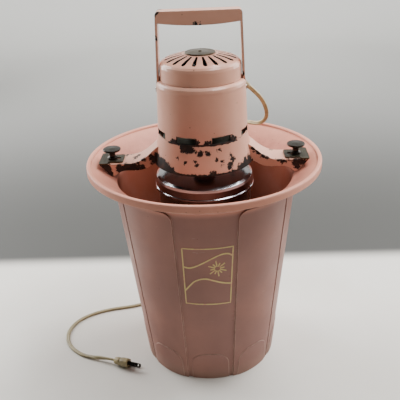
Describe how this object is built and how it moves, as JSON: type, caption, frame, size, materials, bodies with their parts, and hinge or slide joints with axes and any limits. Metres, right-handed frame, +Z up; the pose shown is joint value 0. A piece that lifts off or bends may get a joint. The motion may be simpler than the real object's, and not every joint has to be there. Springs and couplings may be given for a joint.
{
  "type": "electric ice cream freezer",
  "caption": "Bucket-type electric ice cream freezer: flanged plastic ice tub, spun can with dasher, and a lift-off motor and gear drive with carrying handle and lead.",
  "frame": {"origin": "centre of the tub's base, on the surface it stands on", "axes": "+Z up the tub's axis, +X along the right-hand drive arm, -Y towards the front panel"},
  "size_m": [0.4069, 0.4472, 0.5215],
  "materials": {
    "tub_plastic": "satin moulded plastic",
    "steel": "plain steel",
    "tinned_steel": "tinned sheet steel, dull with age",
    "polished_steel": "polished sheet steel",
    "dark_plastic": "moulded bush",
    "cast_aluminium": "as cast",
    "maple": "plain hardwood",
    "black_chipped_enamel": "pink enamel worn through to bare black steel",
    "black_enamel": "dark worn finish",
    "black_steel": "blackened steel",
    "pink_enamel": "gloss enamel",
    "pink_enamel_cap": "gloss enamel",
    "pink_enamel_handle": "gloss enamel, chipped at its edges",
    "medallion_metal": "plain pressed disc",
    "zinc_steel": "zinc plated",
    "bronze": "sintered bronze",
    "gear_steel": "cut steel, oiled",
    "laminated_iron": "stacked laminations",
    "copper": "enamelled copper winding",
    "cord_rubber": "moulded sleeve",
    "cord_jacket": "ivory two-conductor jacket",
    "plug_plastic": "moulded plug",
    "brass_blades": "brass blades"
  },
  "bodies": {
    "tub": {"tub": "tub_plastic", "pivot_pin": "steel"},
    "dasher": {"dasher_frame": "cast_aluminium", "scraper_blades": "maple", "scraper_pins": "steel"},
    "can": {"can": "tinned_steel"},
    "stem_bush": {"stem_bush": "dark_plastic"},
    "lid": {"lid": "polished_steel"},
    "drive_unit": {"lower_frame": "black_chipped_enamel", "clamp_nuts": "steel", "housing_body": "pink_enamel", "housing_cap": "pink_enamel_cap", "medallion": "medallion_metal", "handle": "pink_enamel_handle", "handle_rivets": "steel", "housing_screws": "steel", "housing_lugs": "zinc_steel", "gear_plate_middle": "zinc_steel", "gear_plate_upper": "zinc_steel", "plate_spacers": "steel", "gearcase_screws": "steel", "output_bearing": "bronze", "stem_socket": "zinc_steel", "countershaft_bushes": "bronze", "stator_core": "laminated_iron", "stator_coils": "copper", "stator_screws": "steel", "stator_spacers": "zinc_steel", "bearing_bracket": "zinc_steel", "shaft_bearings": "bronze", "cord_relief": "cord_rubber", "cord_lead": "cord_jacket", "cord_coil": "cord_jacket", "cord_tail": "cord_jacket", "plug_body": "plug_plastic", "plug_blades": "brass_blades"},
    "output": {"output_hub": "steel", "output_gear": "gear_steel"},
    "countershaft": {"countershaft": "steel", "counter_gear": "gear_steel", "counter_pinion": "gear_steel"},
    "rotor": {"motor_shaft": "steel", "motor_pinion": "gear_steel", "rotor_core": "laminated_iron", "cooling_fan": "cast_aluminium"},
    "latch_left": {"latch_plate_left": "black_enamel"},
    "latch_right": {"latch_plate_right": "black_enamel"},
    "screw_left": {"thumb_screw_left": "black_steel"},
    "screw_right": {"thumb_screw_right": "black_steel"}
  },
  "joints": [
    {"name": "can_lift", "type": "slide", "parent": "tub", "child": "dasher", "axis": [0, 0, 1], "range_m": [0, 0.12]},
    {"name": "can_spin", "type": "hinge", "parent": "dasher", "child": "can", "pos_m": [0, 0, 0.15], "axis": [0, 0, 1], "continuous": true},
    {"name": "lid_lift", "type": "slide", "parent": "dasher", "child": "stem_bush", "axis": [0, 0, 1], "range_m": [0, 0.045]},
    {"name": "lid_spin", "type": "hinge", "parent": "stem_bush", "child": "lid", "pos_m": [0, 0, 0.3], "axis": [0, 0, 1], "continuous": true},
    {"name": "drive_lift", "type": "slide", "parent": "stem_bush", "child": "drive_unit", "axis": [0, 0, 1], "range_m": [0, 0.09]},
    {"name": "output_spin", "type": "hinge", "parent": "drive_unit", "child": "output", "pos_m": [0, 0, 0.33], "axis": [0, 0, 1], "continuous": true},
    {"name": "counter_spin", "type": "hinge", "parent": "drive_unit", "child": "countershaft", "pos_m": [0, 0.027, 0.35], "axis": [0, 0, 1], "continuous": true},
    {"name": "rotor_spin", "type": "hinge", "parent": "drive_unit", "child": "rotor", "pos_m": [0, 0, 0.39], "axis": [0, 0, 1], "continuous": true},
    {"name": "latch_left_slide", "type": "slide", "parent": "drive_unit", "child": "latch_left", "axis": [-1, 0, 0], "range_m": [0, 0.009]},
    {"name": "latch_right_slide", "type": "slide", "parent": "drive_unit", "child": "latch_right", "axis": [1, 0, 0], "range_m": [0, 0.009]},
    {"name": "screw_left_turn", "type": "hinge", "parent": "drive_unit", "child": "screw_left", "pos_m": [-0.1298, 0, 0.32], "axis": [0, 0, 1], "range_deg": [0, 720]},
    {"name": "screw_right_turn", "type": "hinge", "parent": "drive_unit", "child": "screw_right", "pos_m": [0.1298, 0, 0.32], "axis": [0, 0, 1], "range_deg": [0, 720]}
  ],
  "couplings": [
    {"joint": "lid_spin", "follows": "can_spin", "ratio": 1},
    {"joint": "output_spin", "follows": "can_spin", "ratio": 1},
    {"joint": "counter_spin", "follows": "can_spin", "ratio": -5},
    {"joint": "rotor_spin", "follows": "can_spin", "ratio": 25}
  ]
}
